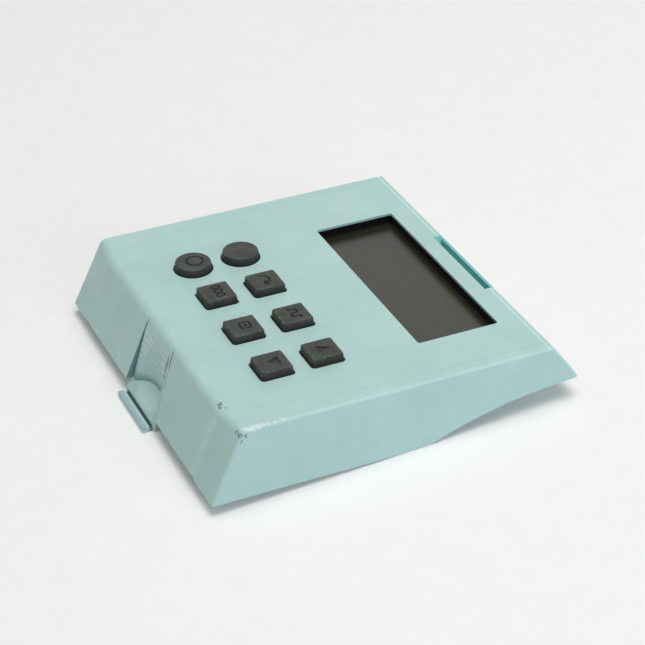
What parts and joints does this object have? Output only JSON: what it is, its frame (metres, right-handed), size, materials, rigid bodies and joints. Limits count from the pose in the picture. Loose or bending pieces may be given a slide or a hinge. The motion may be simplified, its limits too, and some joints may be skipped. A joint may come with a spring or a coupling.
{
  "type": "drive operator panel",
  "caption": "Clip-on operator panel of a motor drive: moulded shell with a recessed display, sprung rubber keys, a hook slot at one end and a sprung thumb latch at the other.",
  "frame": {"origin": "middle of the footprint on the rear plane, the plane of the rim that seats on the drive", "axes": "+X across the panel to the right as mounted, +Y from the key end to the display end, +Z out of the face"},
  "size_m": [0.073, 0.0736, 0.0173],
  "materials": {
    "housing_abs": "fine moulded texture",
    "key_rubber": "matte silicone",
    "carbon_rubber": "matte",
    "display_glass": "anti-glare polariser",
    "black_plastic": "moulded",
    "grey_foam": "foam",
    "board_fr4": "solder resist",
    "chip_epoxy": "moulded epoxy",
    "can_metal": "drawn",
    "gold_pins": "plated",
    "zinc_steel": "zinc plated"
  },
  "bodies": {
    "housing": {"front_housing": "housing_abs", "rear_cover": "housing_abs", "cover_screws": "zinc_steel", "main_board": "board_fr4", "board_screws": "zinc_steel", "keypad_sheet": "key_rubber", "lcd_glass": "display_glass", "lcd_frame": "black_plastic", "lcd_backing": "grey_foam", "zebra_strips": "grey_foam", "dust_gasket": "grey_foam", "connector_shroud": "black_plastic", "connector_pins": "gold_pins", "microcontroller": "chip_epoxy", "memory_chip": "chip_epoxy", "interface_chip": "chip_epoxy", "voltage_regulator": "chip_epoxy", "crystal": "can_metal", "capacitors": "can_metal", "web_stop": "key_rubber", "web_start": "key_rubber", "web_jog": "key_rubber", "web_reverse": "key_rubber", "web_program": "key_rubber", "web_function": "key_rubber", "web_down": "key_rubber", "web_up": "key_rubber"},
    "latch": {"latch_tongue": "housing_abs"},
    "stop_key": {"key_stop": "key_rubber", "pill_stop": "carbon_rubber"},
    "start_key": {"key_start": "key_rubber", "pill_start": "carbon_rubber"},
    "jog_key": {"key_jog": "key_rubber", "pill_jog": "carbon_rubber"},
    "reverse_key": {"key_reverse": "key_rubber", "pill_reverse": "carbon_rubber"},
    "program_key": {"key_program": "key_rubber", "pill_program": "carbon_rubber"},
    "function_key": {"key_function": "key_rubber", "pill_function": "carbon_rubber"},
    "down_key": {"key_down": "key_rubber", "pill_down": "carbon_rubber"},
    "up_key": {"key_up": "key_rubber", "pill_up": "carbon_rubber"}
  },
  "joints": [
    {"name": "latch_bend", "type": "hinge", "parent": "housing", "child": "latch", "pos_m": [0.0015, -0.03081, 0.0113], "axis": [1, 0, 0], "range_deg": [0, 7], "stiffness_Nm_per_rad": 1},
    {"name": "stop_press", "type": "slide", "parent": "housing", "child": "stop_key", "axis": [0, 0, -1], "range_m": [0, 0.001], "stiffness_N_per_m": 900, "deforming": ["web_stop"]},
    {"name": "start_press", "type": "slide", "parent": "housing", "child": "start_key", "axis": [0, 0, -1], "range_m": [0, 0.001], "stiffness_N_per_m": 900, "deforming": ["web_start"]},
    {"name": "jog_press", "type": "slide", "parent": "housing", "child": "jog_key", "axis": [0, 0, -1], "range_m": [0, 0.001], "stiffness_N_per_m": 900, "deforming": ["web_jog"]},
    {"name": "reverse_press", "type": "slide", "parent": "housing", "child": "reverse_key", "axis": [0, 0, -1], "range_m": [0, 0.001], "stiffness_N_per_m": 900, "deforming": ["web_reverse"]},
    {"name": "program_press", "type": "slide", "parent": "housing", "child": "program_key", "axis": [0, 0, -1], "range_m": [0, 0.001], "stiffness_N_per_m": 900, "deforming": ["web_program"]},
    {"name": "function_press", "type": "slide", "parent": "housing", "child": "function_key", "axis": [0, 0, -1], "range_m": [0, 0.001], "stiffness_N_per_m": 900, "deforming": ["web_function"]},
    {"name": "down_press", "type": "slide", "parent": "housing", "child": "down_key", "axis": [0, 0, -1], "range_m": [0, 0.001], "stiffness_N_per_m": 900, "deforming": ["web_down"]},
    {"name": "up_press", "type": "slide", "parent": "housing", "child": "up_key", "axis": [0, 0, -1], "range_m": [0, 0.001], "stiffness_N_per_m": 900, "deforming": ["web_up"]}
  ]
}
